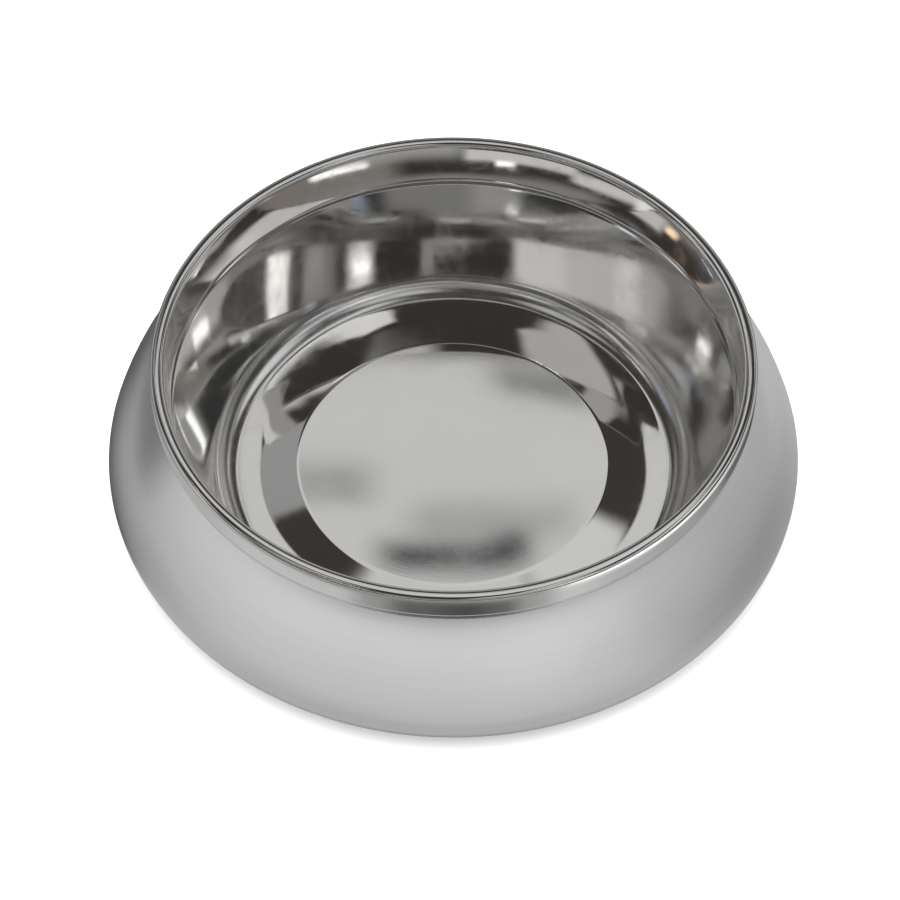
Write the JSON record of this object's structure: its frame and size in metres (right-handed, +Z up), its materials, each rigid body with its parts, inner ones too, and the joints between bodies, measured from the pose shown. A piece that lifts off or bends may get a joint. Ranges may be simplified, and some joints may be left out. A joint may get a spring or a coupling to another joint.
{
  "type": "pet food bowl",
  "caption": "Round double-walled steel feeding bowl with a rolled rim, a flared outer skirt and a rubber ring underneath that keeps it from sliding.",
  "frame": {"origin": "centre of the circle that the bowl stands on, on the standing plane", "axes": "+Z up along the bowl's axis of revolution, +X and +Y level, any turn about +Z is the same"},
  "size_m": [0.21, 0.21, 0.0545],
  "materials": {
    "polished_steel": "mirror-polished stainless steel with fine wiping marks",
    "satin_steel": "softly polished stainless steel, satin, pale grey",
    "rubber": "matt black moulded rubber"
  },
  "bodies": {
    "root": {"inner_bowl": "polished_steel", "outer_skirt": "satin_steel", "anti_slip_ring": "rubber"}
  },
  "joints": []
}
